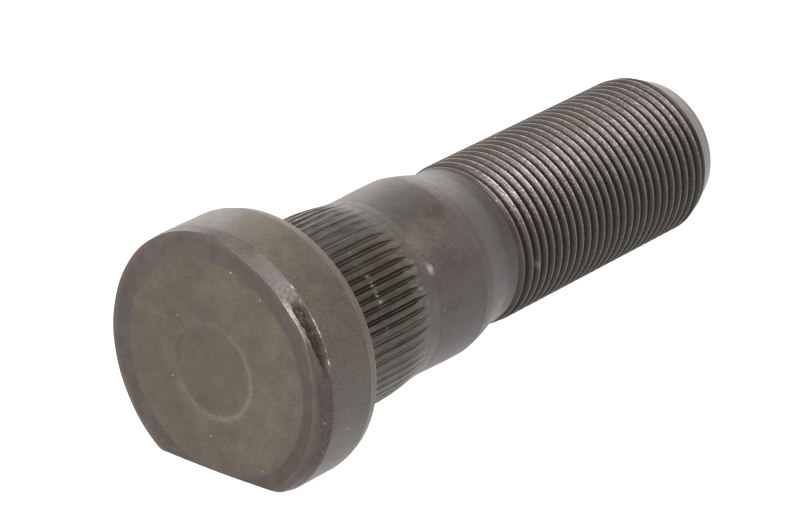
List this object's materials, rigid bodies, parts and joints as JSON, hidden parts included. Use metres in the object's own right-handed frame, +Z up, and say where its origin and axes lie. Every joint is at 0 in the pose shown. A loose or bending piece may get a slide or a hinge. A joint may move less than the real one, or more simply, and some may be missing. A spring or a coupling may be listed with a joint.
{
  "type": "wheel stud",
  "caption": "Press-in wheel stud: round head with one flat, serrated collar, plain shank, tapered neck and a long fine thread.",
  "frame": {"origin": "on the stud's axis, in the plane of the head's seat (its back face, which bears on the hub flange)", "axes": "+X along the axis from the seat towards the threaded tip, -Z square to the flat on the head's edge, +Z up as the stud lies on that flat"},
  "size_m": [0.0883, 0.0348, 0.0315],
  "materials": {
    "phosphated_steel": "matt grey-brown phosphate coating, oiled, with brighter thread crests"
  },
  "bodies": {
    "root": {"stud": "phosphated_steel"}
  },
  "joints": []
}
